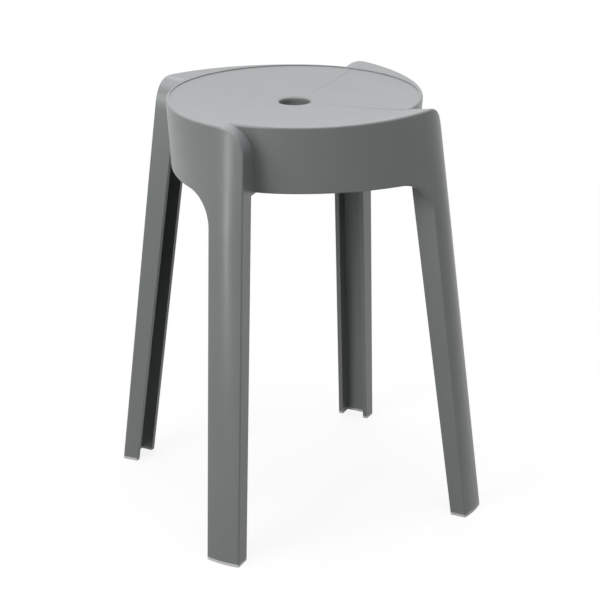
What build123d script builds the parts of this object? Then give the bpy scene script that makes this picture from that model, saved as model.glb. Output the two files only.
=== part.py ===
from build123d import *
import os
from math import cos, radians, sin, sqrt, tan

# A one-piece moulded stool: a round dished seat, four apron panels that spiral out of the rim
# into four splayed channel legs, and a glide pressed into the end of each leg.
# Millimetres, +Z up, floor at Z = 0, the seat's axis on Z.

# Seat
SEAT_HEIGHT = 450.0  # floor to the rim circle
SEAT_RADIUS = 134.4  # rim circle
SEAT_THICKNESS = 5.5  # rim to the underside
DISH_DEPTH = 7.0  # rim to the centre of the hollowed top
RIM_BAND = 3.4  # width of the raised rim
RECESS_DEPTH = 1.0  # rim down to the sitting surface
SECTOR_STEP = 0.2  # rise from one quarter of the top to the next, at the rim
RIM_ROUND = 2.0  # rounding of the outer top edge and of the leg's free edge
CREASE = -1.5  # degrees from the leg, where one quarter of the top meets the next
HOLE_RADIUS = 16.5  # finger hole
HOLE_ROUND = 2.0  # rounding of the hole's upper edge
COLLAR_DEPTH = 16.0  # collar below the underside
COLLAR_WALL = 3.0
COLLAR_RELIEF = 0.8  # the collar's bore is this much wider than the hole

# Apron
APRON_HEIGHT = 70.0  # rim to the lower edge
APRON_WALL = 4.5
APRON_DRAFT = 3.6  # degrees, inward lean where a panel starts
PANEL_START = -68.0  # degrees from the leg, where a panel leaves the rim circle
WINDOW_ROUND = 33.0  # corner between the lower edge and the leg
EDGE_ROUND = 1.2  # rounding of the lower edge and of the leg beside it
RIB_COUNT = 8
RIB_THICKNESS = 2.5
RIB_DEPTH = 12.0  # below the underside
RING_RADIUS = 74.0  # ring rib, middle of its thickness

# Legs: reach, shift and twist place the middle of the outer wall, at the floor and at the rim's height
LEG_ANGLE = -135.0  # degrees, direction that the first leg's outer wall faces
LEG_WIDTH = 38.5
LEG_SAGITTA = 2.1  # bow of the outer wall at the floor
LEG_STANDOUT = 20.0  # from the rim circle out to the leg's wall, at the rim's height
LEG_SPLAY = 51.8  # from there out to the floor
FOOT_SHIFT = 20.6  # along the width, away from the line through the axis
RIM_SHIFT = 4.6
FOOT_TWIST = 2.8  # degrees
RIM_TWIST = -1.5
FOOT_DEPTH = 18.4  # depth of the channel
RIM_DEPTH = 23.2
FOOT_TOE = 2.3  # degrees, lean of the end wall in plan
RIM_TOE = 7.6
FLANGE_WALL = 5.2  # both side walls of the channel
END_ROUND = 30.0  # large rounding at the top of each leg's free end

# Glides
GLIDE_HEIGHT = 3.0
TAB_WIDTH = 7.0
TAB_THICKNESS = 2.0
TAB_LENGTH = 6.0  # above the pad
TAB_CLEARANCE = 0.1  # all round, in the socket
SOCKET_SPARE = 0.6  # socket deeper than the tab

# Construction
BELOW = 6.0  # how far cutting bodies run past what they cut
REACH_IN = 46.0  # how far an end wall runs in from the leg's corner
CORE_INSET = 2.0  # from the inside of the rim, or of the wall, to where the seat is parted from the legs
BLEND_SPARE = 3.3  # from the window's round down to where the legs have a section of their own
POLE_TIP = 10.0  # degrees, tip of the ball that hollows the top
EDGE_TOLERANCE = 0.2  # for finding the edges to be rounded
WALL_LEAN = 45.0  # degrees, outer walls face away from the axis to within this
LEGS = ("front_left", "front_right", "back_right", "back_left")

RIM_REACH = SEAT_RADIUS + LEG_STANDOUT
FOOT_REACH = RIM_REACH + LEG_SPLAY
APRON_BOTTOM = SEAT_HEIGHT - APRON_HEIGHT
LEG_TOP = APRON_BOTTOM - WINDOW_ROUND - BLEND_SPARE
DISH_RADIUS = (SEAT_RADIUS**2 + DISH_DEPTH**2) / (2 * DISH_DEPTH)


def polar(radius, angle):
    """Point in plan at a radius and an angle in degrees."""
    return Vector(radius * cos(radians(angle)), radius * sin(radians(angle)))


def along_leg(foot, rim, z):
    """Value at height z of what changes evenly from the floor to the rim."""
    return foot + (rim - foot) * z / SEAT_HEIGHT


def rim_radius(z):
    """Radius of the drafted wall under the rim circle at height z."""
    return SEAT_RADIUS - (SEAT_HEIGHT - z) * tan(radians(APRON_DRAFT))


def leg_corners(z):
    """Free corner and window corner of the first leg at height z, and the way in along its end wall."""
    twist = radians(along_leg(FOOT_TWIST, RIM_TWIST, z))
    toe = radians(along_leg(FOOT_TOE, RIM_TOE, z))
    middle = Vector(along_leg(FOOT_REACH, RIM_REACH, z), along_leg(FOOT_SHIFT, RIM_SHIFT, z))
    half_width = Vector(sin(twist), cos(twist)) * (LEG_WIDTH / 2)
    return middle + half_width, middle - half_width, Vector(-cos(toe), -sin(toe))


def channel_edge(z):
    """Distance from the axis to the channel's open side at height z."""
    free_corner, _, inward = leg_corners(z)
    return free_corner.X + inward.X * along_leg(FOOT_DEPTH, RIM_DEPTH, z)


def circle_through(point, normal, other):
    """Centre and radius of the circle through two points with a known normal at the first."""
    chord = other - point
    radius = -chord.dot(chord) / (2 * chord.dot(normal))
    return point - normal * radius, radius


def panel_circles(z):
    """Centres and radii of the panel's arc and the leg's arc at height z."""
    free_corner, window_corner, _ = leg_corners(z)
    start = polar(rim_radius(z), PANEL_START)
    if z >= LEG_TOP:
        panel = circle_through(start, start.normalized(), window_corner)
        normal = (window_corner - panel[0]).normalized()
        return panel, circle_through(window_corner, normal, free_corner)
    leg_radius = LEG_WIDTH**2 / (8 * LEG_SAGITTA) + LEG_SAGITTA / 2
    width = (free_corner - window_corner).normalized()
    outward = Vector(width.Y, -width.X)
    leg_centre = (free_corner + window_corner) / 2 - outward * (leg_radius - LEG_SAGITTA)
    normal = (window_corner - leg_centre).normalized()
    return circle_through(window_corner, normal, start), (leg_centre, leg_radius)


def sector_outline(z, wall=0.0, end_wall=0.0):
    """Plan of one quarter at height z: its panel, its leg and the way back to the axis.

    A wall thickness gives the plan of the space inside instead.
    """
    free_corner, window_corner, inward = leg_corners(z)
    (panel_centre, panel_radius), (leg_centre, leg_radius) = panel_circles(z)
    rim = rim_radius(z)
    first = polar(rim - wall, CREASE - 90)
    first_middle = polar(rim - wall, (CREASE - 90 + PANEL_START) / 2)
    start = polar(rim, PANEL_START)
    start = panel_centre + (start - panel_centre).normalized() * (panel_radius - wall)
    bend = leg_centre + (window_corner - leg_centre).normalized() * (leg_radius - wall)
    panel_middle = panel_centre + ((start + bend) / 2 - panel_centre).normalized() * (panel_radius - wall)

    aside = Vector(-inward.Y, inward.X)
    line_start = free_corner + aside * end_wall - leg_centre
    slope = line_start.dot(inward)
    corner_in = -slope - sqrt(slope**2 - line_start.dot(line_start) + (leg_radius - wall) ** 2)
    corner = leg_centre + line_start + inward * corner_in
    leg_middle = leg_centre + ((bend + corner) / 2 - leg_centre).normalized() * (leg_radius - wall)
    inner_end = free_corner + aside * end_wall + inward * REACH_IN
    crease_end = polar(rim_radius(APRON_BOTTOM) - REACH_IN / 2, CREASE)

    edges = Curve() + [
        Line((0, 0), first),
        ThreePointArc(first, first_middle, start),
        ThreePointArc(start, panel_middle, bend),
        ThreePointArc(bend, leg_middle, corner),
        Line(corner, inner_end),
        Line(inner_end, crease_end),
        Line(crease_end, (0, 0)),
    ]
    return Pos(0, 0, z) * make_face(edges)


def dish_centre():
    """Centre of the ball that hollows one quarter of the top.

    It stands off the axis, so that the quarter falls towards its leg.
    """
    lean = (polar(1, CREASE) - polar(1, CREASE - 90)) * (SECTOR_STEP / 2 * DISH_RADIUS / SEAT_RADIUS)
    return lean + Vector(0, 0, SEAT_HEIGHT - DISH_DEPTH + DISH_RADIUS)


def dish(offset=0.0):
    """Ball that hollows one quarter of the top, or a larger one about the same centre.

    It is tipped and turned so that its lower pole and its seam lie on the far side of the axis.
    """
    return Pos(*dish_centre()) * Rot(0, 0, CREASE + 135) * Rot(0, -POLE_TIP, 0) * Sphere(DISH_RADIUS + offset)


def core(inset):
    """Cone set in from the drafted wall under the rim circle."""
    low = -BELOW
    high = SEAT_HEIGHT + BELOW
    cone = Cone(rim_radius(low) - inset, rim_radius(high) - inset, high - low)
    return Pos(0, 0, (low + high) / 2) * cone


def end_rounded(solid, radius, wall=0.0):
    """The same solid with the large rounding at the top of the leg's free end."""
    free_corner, _, inward = leg_corners(SEAT_HEIGHT)
    place = free_corner + inward * (RIM_DEPTH / 2) + Vector(-inward.Y, inward.X) * wall
    top = solid.faces().filter_by(GeomType.SPHERE)
    edge = top.edges().sort_by_distance((place.X, place.Y, SEAT_HEIGHT - wall))[0]
    return solid.solid().fillet(radius, [edge])


def outer_edges(solid, round_window):
    """Edges of the outer walls: those round the window, or those with the top and the leg's end wall."""
    walls = []
    for face in solid.faces():
        place = face.center()
        if face.normal_at().dot(Vector(place.X, place.Y).normalized()) > cos(radians(WALL_LEAN)):
            walls.append(face)
    edges = [edge for wall in walls for edge in wall.edges()]
    seam = polar(1, CREASE - 90)
    chosen = []
    for edge in edges:
        middle = edge @ 0.5
        on_seam = abs(seam.X * middle.Y - seam.Y * middle.X) < EDGE_TOLERANCE
        low = middle.Z < APRON_BOTTOM + EDGE_TOLERANCE
        at_window = low and middle.Y < along_leg(FOOT_SHIFT, RIM_SHIFT, middle.Z)
        free = edges.count(edge) == 1 and middle.Z > EDGE_TOLERANCE and not on_seam
        if free and at_window == round_window:
            chosen.append(edge)
    return chosen


def parted(outlines, inset, depth=0.0):
    """Loft through outlines with its top hollowed, in two: the part inside the core and the part outside."""
    solid = loft(outlines, ruled=True)
    return (solid & core(inset)) - dish(depth), (solid - core(inset)) - dish(depth)


def quarter():
    """Solid of one quarter: its share of the seat, its panel and its leg."""
    levels = (0, LEG_TOP, SEAT_HEIGHT + BELOW)
    inner, outer = parted([sector_outline(z) for z in levels], RIM_BAND + CORE_INSET)
    outer = end_rounded(outer, END_ROUND) - channel_cut(APRON_BOTTOM) - window_cut()
    outer = outer.solid().fillet(RIM_ROUND, outer_edges(outer, False))
    outer = outer.fillet(EDGE_ROUND, outer_edges(outer, True))
    return (inner - channel_cut(APRON_BOTTOM)) + outer - recess()


def quarter_space():
    """Space inside one quarter, below the seat and behind its walls."""
    levels = (-BELOW, LEG_TOP, SEAT_HEIGHT + BELOW)
    outlines = [sector_outline(z, APRON_WALL, FLANGE_WALL) for z in levels]
    inner, outer = parted(outlines, APRON_WALL + CORE_INSET, SEAT_THICKNESS)
    return inner + end_rounded(outer, END_ROUND - FLANGE_WALL, FLANGE_WALL)


def recess():
    """Body above the sitting surface, inside the raised rim."""
    inside = Pos(0, 0, SEAT_HEIGHT) * Cylinder(SEAT_RADIUS - RIM_BAND, 2 * (DISH_DEPTH + BELOW))
    return inside & dish(RECESS_DEPTH)


def around(solid):
    """Four copies of a solid, one for each leg."""
    return [Rot(0, 0, LEG_ANGLE + 90 * turn) * solid for turn in range(len(LEGS))]


def joined(solids):
    """One body fused from several."""
    return solids[0].fuse(*solids[1:])


def channel_cut(top):
    """Square tapered body between the open sides of the four channels, up to a height."""
    ends = [Pos(0, 0, z) * Rectangle(2 * channel_edge(z), 2 * channel_edge(z)) for z in (-BELOW, top)]
    return loft(ends, ruled=True)


def window_line(z):
    """Place across the width of the leg's edge beside the window, at height z."""
    return leg_corners(z)[1].Y


def window_cut():
    """Body that opens the panel below the apron, with a large round beside the leg."""
    far = -SEAT_RADIUS
    outline = make_face(
        Polyline(
            (window_line(-BELOW), -BELOW),
            (window_line(APRON_BOTTOM), APRON_BOTTOM),
            (far, APRON_BOTTOM),
            (far, -BELOW),
            close=True,
        )
    )
    corner = outline.vertices().sort_by_distance((window_line(APRON_BOTTOM), APRON_BOTTOM))[0]
    outline = fillet(corner, WINDOW_ROUND)
    return extrude(Plane.YZ.offset(RIM_REACH / 2) * outline, FOOT_REACH)


def window_flange():
    """Side wall of the channel beside the window, from the floor to the seat."""
    top = SEAT_HEIGHT + BELOW
    outline = make_face(
        Polyline(
            (window_line(-BELOW), -BELOW),
            (window_line(top), top),
            (window_line(top) + FLANGE_WALL, top),
            (window_line(-BELOW) + FLANGE_WALL, -BELOW),
            close=True,
        )
    )
    return extrude(Plane.YZ.offset(RIM_REACH / 2) * outline, FOOT_REACH)


def seat_ribs():
    """Radial ribs, the ring rib and the solid collar under the seat."""
    underside = SEAT_HEIGHT - DISH_DEPTH - SEAT_THICKNESS
    depth = SEAT_HEIGHT + BELOW - underside + RIB_DEPTH
    middle = SEAT_HEIGHT + BELOW - depth / 2
    reach = 2 * (RIM_REACH + LEG_WIDTH)
    rib = Pos(0, 0, middle) * Box(reach, RIB_THICKNESS, depth)
    step = 360 / RIB_COUNT
    ribs = [Rot(0, 0, LEG_ANGLE + step * (turn + 0.5)) * rib for turn in range(RIB_COUNT // 2)]
    ring = Cylinder(RING_RADIUS + RIB_THICKNESS / 2, depth) - Cylinder(RING_RADIUS - RIB_THICKNESS / 2, depth)
    collar_height = SEAT_HEIGHT + BELOW - underside + COLLAR_DEPTH
    collar_radius = HOLE_RADIUS + COLLAR_RELIEF + COLLAR_WALL
    collar = Pos(0, 0, SEAT_HEIGHT + BELOW - collar_height / 2) * Cylinder(collar_radius, collar_height)
    return ribs + [Pos(0, 0, middle) * ring, collar]


def hole_cut():
    """Finger hole with a rounded upper edge, and the wider bore of its collar."""
    surface = SEAT_HEIGHT - DISH_DEPTH - RECESS_DEPTH
    underside = SEAT_HEIGHT - DISH_DEPTH - SEAT_THICKNESS
    bottom = underside - COLLAR_DEPTH - BELOW
    bore = HOLE_RADIUS + COLLAR_RELIEF
    mouth = HOLE_RADIUS + HOLE_ROUND
    outline = Curve() + [
        Polyline((0, bottom), (bore, bottom), (bore, underside), (HOLE_RADIUS, underside)),
        Line((HOLE_RADIUS, underside), (HOLE_RADIUS, surface - HOLE_ROUND)),
        RadiusArc((HOLE_RADIUS, surface - HOLE_ROUND), (mouth, surface), HOLE_ROUND),
        Polyline((mouth, surface), (mouth, SEAT_HEIGHT), (0, SEAT_HEIGHT), (0, bottom)),
    ]
    return revolve(Plane.XZ * make_face(outline), Axis.Z)


def tab_places():
    """Plan of the first leg's three tabs: in the outer wall, the end wall and the window's side wall."""
    z = GLIDE_HEIGHT + TAB_LENGTH / 2
    free_corner, window_corner, inward = leg_corners(z)
    _, (leg_centre, leg_radius) = panel_circles(z)
    bow = ((free_corner + window_corner) / 2 - leg_centre).normalized()
    in_outer_wall = leg_centre + bow * (leg_radius - APRON_WALL / 2)
    edge = channel_edge(z)
    end_depth = (free_corner.X + APRON_WALL - edge) / 2
    window_depth = (window_corner.X + APRON_WALL - edge) / 2
    in_end_wall = free_corner + inward * end_depth + Vector(-inward.Y, inward.X) * (FLANGE_WALL / 2)
    in_window_wall = window_corner + Vector(-window_depth, FLANGE_WALL / 2)
    toe = along_leg(FOOT_TOE, RIM_TOE, z)
    twist = along_leg(FOOT_TWIST, RIM_TWIST, z)
    return (in_outer_wall, 90 - twist), (in_end_wall, toe), (in_window_wall, 0)


def tabs(clearance=0.0, spare=0.0):
    """Tabs of the first leg's glide, or their sockets when a clearance and a spare depth are given."""
    height = TAB_LENGTH + spare
    tab = Box(TAB_WIDTH + 2 * clearance, TAB_THICKNESS + 2 * clearance, height)
    tab = Pos(0, 0, GLIDE_HEIGHT + height / 2) * tab
    return Part() + [Pos(place.X, place.Y) * Rot(0, 0, turn) * tab for place, turn in tab_places()]


def moulding():
    """The whole stool down to the floor, with its walls, ribs, windows and finger hole."""
    hollow = joined(around(quarter_space()))
    flanges = joined(around(window_flange() - channel_cut(SEAT_HEIGHT + BELOW)))
    hollow -= [flanges] + seat_ribs()
    return joined(around(quarter())) - hollow - hole_cut()


stool = moulding()
ground = Pos(0, 0, GLIDE_HEIGHT / 2) * Box(4 * FOOT_REACH, 4 * FOOT_REACH, GLIDE_HEIGHT)
leg_ends = (stool & ground).solids()
body = stool - ([ground] + around(tabs(TAB_CLEARANCE, SOCKET_SPARE)))

os.makedirs("parts", exist_ok=True)
export_step(body, "parts/stool_body.step")
for turn, (name, glide_tabs) in enumerate(zip(LEGS, around(tabs()))):
    pad = leg_ends.sort_by_distance(polar(FOOT_REACH, LEG_ANGLE + 90 * turn))[0]
    export_step(pad + glide_tabs, f"parts/foot_glide_{name}.step")
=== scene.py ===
import logging
from dataclasses import dataclass, field
from enum import Enum
from math import radians
from typing import Any

import bmesh
import bpy
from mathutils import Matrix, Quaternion, Vector


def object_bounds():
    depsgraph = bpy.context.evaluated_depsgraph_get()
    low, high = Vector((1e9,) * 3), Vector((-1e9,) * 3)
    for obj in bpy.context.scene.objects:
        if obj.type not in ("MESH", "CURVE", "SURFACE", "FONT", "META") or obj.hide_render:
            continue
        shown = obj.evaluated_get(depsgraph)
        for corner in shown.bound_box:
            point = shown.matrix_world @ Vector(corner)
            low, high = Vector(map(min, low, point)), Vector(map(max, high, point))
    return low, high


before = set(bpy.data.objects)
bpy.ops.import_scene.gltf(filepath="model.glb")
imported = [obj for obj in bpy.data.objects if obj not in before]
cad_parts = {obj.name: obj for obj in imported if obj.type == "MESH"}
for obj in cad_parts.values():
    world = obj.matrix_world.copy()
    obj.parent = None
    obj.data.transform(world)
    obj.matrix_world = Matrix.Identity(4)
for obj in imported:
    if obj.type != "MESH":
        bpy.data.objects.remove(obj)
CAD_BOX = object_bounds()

LOG = logging.getLogger("plastic_stool")
MM = 0.001  # in metres

Colour = tuple[float, float, float, float]
Point = tuple[float, float, float]

WHITE: Colour = (1.0, 1.0, 1.0, 1.0)

# The sRGB curve: straight below its knee, a power above it.
SRGB_KNEE = 0.04045
SRGB_SLOPE = 12.92
SRGB_OFFSET = 0.055
SRGB_POWER = 2.4


class StudioRay(Enum):
    """Rays that see the studio as plain white; all others only take its light."""

    CAMERA = "Is Camera Ray"
    GLOSSY = "Is Glossy Ray"
    TRANSMISSION = "Is Transmission Ray"


class Leg(Enum):
    """The four legs, by where they stand."""

    FRONT_LEFT = "front_left"
    FRONT_RIGHT = "front_right"
    BACK_RIGHT = "back_right"
    BACK_LEFT = "back_left"


class Lamplight(Enum):
    """Colours of lamplight."""

    NEUTRAL = "FFFFFF"
    COOL = "FBF5FF"


def linear(hex_colour: str) -> Colour:
    """Turn an sRGB hex colour into linear values.

    Args:
        hex_colour: Six hex digits.

    Returns:
        Linear red, green and blue, and an alpha of one.
    """
    parts = [int(hex_colour[place:place + 2], 16) / 255 for place in (0, 2, 4)]
    red, green, blue = [
        part / SRGB_SLOPE
        if part <= SRGB_KNEE
        else ((part + SRGB_OFFSET) / (1 + SRGB_OFFSET)) ** SRGB_POWER
        for part in parts
    ]
    return red, green, blue, 1.0


def per_metre(size_mm: float) -> float:
    """Pattern scale, in repeats to the metre, for a feature of a size in millimetres."""
    return 1 / (size_mm * MM)


def add_node(
    tree: bpy.types.NodeTree,
    kind: str,
    values: dict[str | int, Any] | None = None,
    links: dict[str | int, bpy.types.NodeSocket] | None = None,
    **settings: Any,
) -> bpy.types.Node:
    """Add one node to a tree, with its settings and links.

    Args:
        tree: Tree that takes the node.
        kind: Type of the node.
        values: Input sockets and what is set on them.
        links: Input sockets and the outputs that feed them.
        settings: Properties of the node itself.

    Returns:
        The new node.
    """
    node = tree.nodes.new(kind)
    for name, setting in settings.items():
        setattr(node, name, setting)
    for socket, value in (values or {}).items():
        node.inputs[socket].default_value = value
    for socket, source in (links or {}).items():
        tree.links.new(source, node.inputs[socket])
    return node


def new_material(name: str) -> tuple[bpy.types.Material, bpy.types.NodeTree]:
    """Make a material with an empty node tree.

    Args:
        name: Name of the material.

    Returns:
        The material and its tree.
    """
    material = bpy.data.materials.new(name)
    material.use_nodes = True
    material.node_tree.nodes.clear()
    return material, material.node_tree


def dress_node(node: str, material: bpy.types.Material) -> None:
    """Give a CAD node a material in place of its own.

    Args:
        node: Name of the node.
        material: Material that it takes.
    """
    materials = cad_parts[node].data.materials
    materials.clear()
    materials.append(material)
    LOG.info("dressed %s in %s", node, material.name)


def studio_rays(tree: bpy.types.NodeTree) -> bpy.types.NodeSocket:
    """Add the test for rays that see the studio as plain white.

    Args:
        tree: Tree that takes the test.

    Returns:
        Socket that is one for such rays and zero for others.
    """
    path = add_node(tree, "ShaderNodeLightPath")
    seen = path.outputs[StudioRay.CAMERA.value]
    for ray in (StudioRay.GLOSSY, StudioRay.TRANSMISSION):
        either = add_node(
            tree,
            "ShaderNodeMath",
            links={0: seen, 1: path.outputs[ray.value]},
            operation="MAXIMUM",
        )
        seen = either.outputs[0]
    return seen


@dataclass(frozen=True)
class GreyPolypropylene:
    """Polypropylene, injection moulded in a spark-eroded mould.

    To the eye it is a mid grey with a trace of green, satin and slightly waxy, with a fine even
    grain, a faint cloudiness where the colour was mixed into the melt, and gloss that handling
    has made slightly uneven.
    """

    name: str = "grey_polypropylene_moulded"
    colour: str = "8C928F"
    cloud_colour: str = "868B89"
    cloud_mm: float = 70.0
    cloud_detail: float = 3.0
    ior: float = 1.49
    roughness_low: float = 0.30
    roughness_high: float = 0.36
    handling_mm: float = 24.0
    handling_detail: float = 4.0
    grain_mm: float = 1.3  # really about 0.3 mm, too fine to show, so it is drawn coarser
    grain_detail: float = 2.0
    grain_height_mm: float = 0.03
    grain_strength: float = 0.3

    def make(self) -> bpy.types.Material:
        """Build the material.

        Returns:
            The finished material.
        """
        material, tree = new_material(self.name)
        place = add_node(tree, "ShaderNodeTexCoord").outputs["Object"]
        cloud = add_node(
            tree,
            "ShaderNodeTexNoise",
            {"Scale": per_metre(self.cloud_mm), "Detail": self.cloud_detail},
            {"Vector": place},
        )
        colour = add_node(tree, "ShaderNodeValToRGB", links={"Fac": cloud.outputs["Fac"]})
        colour.color_ramp.elements[0].color = linear(self.cloud_colour)
        colour.color_ramp.elements[1].color = linear(self.colour)
        handling = add_node(
            tree,
            "ShaderNodeTexNoise",
            {"Scale": per_metre(self.handling_mm), "Detail": self.handling_detail},
            {"Vector": place},
        )
        roughness = add_node(
            tree,
            "ShaderNodeMapRange",
            {"To Min": self.roughness_low, "To Max": self.roughness_high},
            {"Value": handling.outputs["Fac"]},
        )
        grain = add_node(
            tree,
            "ShaderNodeTexNoise",
            {"Scale": per_metre(self.grain_mm), "Detail": self.grain_detail},
            {"Vector": place},
        )
        bump = add_node(
            tree,
            "ShaderNodeBump",
            {"Strength": self.grain_strength, "Distance": self.grain_height_mm * MM},
            {"Height": grain.outputs["Fac"]},
        )
        shader = add_node(
            tree,
            "ShaderNodeBsdfPrincipled",
            {"IOR": self.ior},
            {
                "Base Color": colour.outputs["Color"],
                "Roughness": roughness.outputs["Result"],
                "Normal": bump.outputs["Normal"],
            },
        )
        add_node(tree, "ShaderNodeOutputMaterial", links={"Surface": shader.outputs["BSDF"]})
        return material


@dataclass(frozen=True)
class NaturalPolyethylene:
    """Polyethylene without colour, moulded and a little scuffed by the floor.

    To the eye it is a milky off-white that lets some light in, slightly greyer and duller where
    it meets the floor.
    """

    name: str = "natural_polyethylene_glide"
    colour: str = "F8F8F6"
    scuffed: str = "E3E3DF"
    scuff_mm: float = 3.0
    scuff_detail: float = 5.0
    scuff_height_mm: float = 0.6  # above the floor, where the scuffing ends
    ior: float = 1.51
    roughness_low: float = 0.4
    roughness_high: float = 0.65
    translucence: float = 0.2
    light_spread: Point = (1.0, 1.0, 1.0)  # of red, green and blue, alike so that no tint shows
    light_depth_mm: float = 1.5

    def make(self) -> bpy.types.Material:
        """Build the material.

        Returns:
            The finished material.
        """
        material, tree = new_material(self.name)
        place = add_node(tree, "ShaderNodeTexCoord").outputs["Object"]
        height = add_node(tree, "ShaderNodeSeparateXYZ", links={"Vector": place})
        scuff = add_node(
            tree,
            "ShaderNodeTexNoise",
            {"Scale": per_metre(self.scuff_mm), "Detail": self.scuff_detail},
            {"Vector": place},
        )
        low = add_node(
            tree,
            "ShaderNodeMapRange",
            {"From Max": self.scuff_height_mm * MM, "To Min": 1.0, "To Max": 0.0},
            {"Value": height.outputs["Z"]},
        )
        worn = add_node(
            tree,
            "ShaderNodeMath",
            links={0: low.outputs["Result"], 1: scuff.outputs["Fac"]},
            operation="MULTIPLY",
        )
        colour = add_node(tree, "ShaderNodeValToRGB", links={"Fac": worn.outputs[0]})
        colour.color_ramp.elements[0].color = linear(self.colour)
        colour.color_ramp.elements[1].color = linear(self.scuffed)
        roughness = add_node(
            tree,
            "ShaderNodeMapRange",
            {"To Min": self.roughness_low, "To Max": self.roughness_high},
            {"Value": scuff.outputs["Fac"]},
        )
        shader = add_node(
            tree,
            "ShaderNodeBsdfPrincipled",
            {
                "IOR": self.ior,
                "Subsurface Weight": self.translucence,
                "Subsurface Radius": self.light_spread,
                "Subsurface Scale": self.light_depth_mm * MM,
            },
            {"Base Color": colour.outputs["Color"], "Roughness": roughness.outputs["Result"]},
        )
        add_node(tree, "ShaderNodeOutputMaterial", links={"Surface": shader.outputs["BSDF"]})
        return material


@dataclass(frozen=True)
class StudioPaper:
    """Seamless white paper, matt, that fades to plain white away from the object's shadow."""

    name: str = "studio_paper"
    bounce: float = 0.18  # share of the light that comes back to the object
    lift: float = 0.86  # plain white added where the paper is looked at
    shadow_radius: float = 0.45  # within it the paper shows all of the shadow
    white_radius: float = 1.3  # beyond it the paper is plain white

    def make(self) -> bpy.types.Material:
        """Build the material.

        Returns:
            The finished material.
        """
        material, tree = new_material(self.name)
        matt = (self.bounce, self.bounce, self.bounce, 1.0)
        paper = add_node(tree, "ShaderNodeBsdfDiffuse", {"Color": matt}).outputs["BSDF"]
        lift = add_node(tree, "ShaderNodeEmission", {"Color": WHITE, "Strength": self.lift})
        shaded = add_node(
            tree,
            "ShaderNodeAddShader",
            links={0: paper, 1: lift.outputs["Emission"]},
        )
        white = add_node(tree, "ShaderNodeEmission", {"Color": WHITE, "Strength": 1.0})
        place = add_node(tree, "ShaderNodeTexCoord").outputs["Object"]
        distance = add_node(tree, "ShaderNodeVectorMath", links={0: place}, operation="LENGTH")
        away = add_node(
            tree,
            "ShaderNodeMapRange",
            {"From Min": self.shadow_radius, "From Max": self.white_radius},
            {"Value": distance.outputs["Value"]},
            interpolation_type="SMOOTHSTEP",
        )
        seen = add_node(
            tree,
            "ShaderNodeMixShader",
            links={
                0: away.outputs["Result"],
                1: shaded.outputs["Shader"],
                2: white.outputs["Emission"],
            },
        )
        surface = add_node(
            tree,
            "ShaderNodeMixShader",
            links={0: studio_rays(tree), 1: paper, 2: seen.outputs["Shader"]},
        )
        add_node(tree, "ShaderNodeOutputMaterial", links={"Surface": surface.outputs["Shader"]})
        return material


@dataclass
class StoolBody:
    """The moulded shell: seat, apron panels and legs in one piece."""

    node: str = "stool_body"
    finish: GreyPolypropylene = field(default_factory=GreyPolypropylene)

    def dress(self) -> None:
        """Give the shell its finish."""
        dress_node(self.node, self.finish.make())


@dataclass
class FootGlides:
    """The pads pressed into the leg ends."""

    prefix: str = "foot_glide_"
    finish: NaturalPolyethylene = field(default_factory=NaturalPolyethylene)

    def dress(self) -> None:
        """Give all pads one finish."""
        material = self.finish.make()
        for leg in Leg:
            dress_node(self.prefix + leg.value, material)


@dataclass(frozen=True)
class Softbox:
    """One lamp with a rectangular diffuser, in metres and watts.

    A lamp that is gloss only shows in reflections, and leaves diffuse light and shadows alone.
    """

    name: str
    place: Point
    width: float
    height: float
    power: float
    target: Point = (0.0, 0.0, 0.3)
    colour: Lamplight = Lamplight.NEUTRAL
    gloss_only: bool = False

    def hang(self) -> None:
        """Put the lamp in the scene, turned to its target."""
        light = bpy.data.lights.new(self.name, "AREA")
        light.shape = "RECTANGLE"
        light.size = self.width
        light.size_y = self.height
        light.energy = self.power
        light.color = linear(self.colour.value)[:3]
        lamp = bpy.data.objects.new(self.name, light)
        lamp.location = self.place
        way = Vector(self.target) - Vector(self.place)
        lamp.rotation_euler = way.to_track_quat("-Z", "Y").to_euler()
        lamp.visible_diffuse = not self.gloss_only
        bpy.context.scene.collection.objects.link(lamp)
        LOG.info("hung %s", self.name)


SOFTBOXES = (
    Softbox(
        "softbox_above",
        place=(0.0, 0.0, 2.3),
        width=1.8,
        height=1.8,
        power=30.0,
        colour=Lamplight.COOL,
    ),
    Softbox("softbox_front", place=(0.195, -1.487, 2.1), width=1.2, height=1.2, power=9.5),
    Softbox(
        "softbox_back",
        place=(0.450, 1.431, 2.0),
        width=1.0,
        height=1.0,
        power=7.5,
        colour=Lamplight.COOL,
    ),
    Softbox("softbox_back_left", place=(-0.832, 1.596, 1.5), width=0.8, height=0.8, power=3.0),
    Softbox("softbox_left", place=(-1.758, -0.722, 1.3), width=1.2, height=1.2, power=19.0),
    Softbox("softbox_right", place=(1.898, -0.082, 1.2), width=0.8, height=0.8, power=2.4),
    Softbox(
        "strip_left",
        place=(-0.949, -0.579, 0.32),
        width=0.12,
        height=0.36,
        power=1.9,
        target=(-0.13, -0.16, 0.32),
        gloss_only=True,
    ),
)


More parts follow.
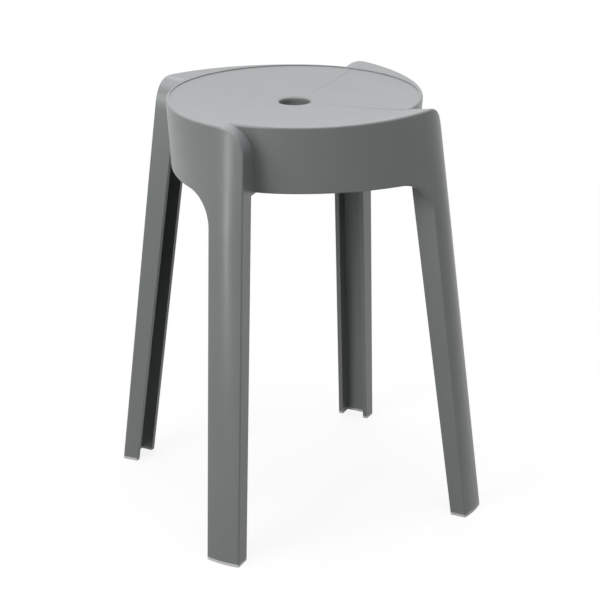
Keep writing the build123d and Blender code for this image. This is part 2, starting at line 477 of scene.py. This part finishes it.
@dataclass
class Studio:
    """Floor, surrounding light, lamps and camera."""

    paper: StudioPaper = field(default_factory=StudioPaper)
    floor_half: float = 30.0
    sky: float = 0.04  # strength of the surroundings as light
    backdrop: float = 1.0  # their strength where they are looked at, plain white
    lamps: tuple[Softbox, ...] = SOFTBOXES
    camera_place: Point = (-0.5575, -1.7728, 0.9209)
    camera_look: Point = (0.28285, 0.89165, -0.35350)
    camera_roll_degrees: float = 0.26
    lens_mm: float = 109.04

    def lay_floor(self) -> None:
        """Lay the paper floor at the height of the pads' undersides."""
        mesh = bpy.data.meshes.new("studio_floor")
        shape = bmesh.new()
        bmesh.ops.create_grid(shape, x_segments=1, y_segments=1, size=self.floor_half)
        shape.to_mesh(mesh)
        shape.free()
        mesh.materials.append(self.paper.make())
        floor = bpy.data.objects.new("studio_floor", mesh)
        floor.location.z = CAD_BOX[0].z
        bpy.context.scene.collection.objects.link(floor)

    def light(self) -> None:
        """Set the surrounding light and hang the lamps."""
        world = bpy.data.worlds.new("studio_white")
        world.use_nodes = True
        tree = world.node_tree
        tree.nodes.clear()
        dim, white = [
            add_node(tree, "ShaderNodeBackground", {"Color": WHITE, "Strength": strength})
            for strength in (self.sky, self.backdrop)
        ]
        sight = add_node(
            tree,
            "ShaderNodeMixShader",
            links={
                0: studio_rays(tree),
                1: dim.outputs["Background"],
                2: white.outputs["Background"],
            },
        )
        add_node(tree, "ShaderNodeOutputWorld", links={"Surface": sight.outputs["Shader"]})
        bpy.context.scene.world = world
        for lamp in self.lamps:
            lamp.hang()

    def place_camera(self) -> None:
        """Put the camera where the photograph was taken from."""
        data = bpy.data.cameras.new("studio_camera")
        data.lens = self.lens_mm
        camera = bpy.data.objects.new("studio_camera", data)
        look = Vector(self.camera_look)
        roll = Quaternion(look, radians(self.camera_roll_degrees))
        camera.location = self.camera_place
        camera.rotation_euler = (roll @ look.to_track_quat("-Z", "Y")).to_euler()
        bpy.context.scene.collection.objects.link(camera)
        bpy.context.scene.camera = camera


def main() -> None:
    """Dress the stool and build the studio round it."""
    logging.basicConfig(level=logging.INFO, format="%(name)s: %(message)s")
    bpy.context.scene.view_settings.view_transform = "Standard"
    StoolBody().dress()
    FootGlides().dress()
    studio = Studio()
    studio.lay_floor()
    studio.light()
    studio.place_camera()


if __name__ == "__main__":
    main()
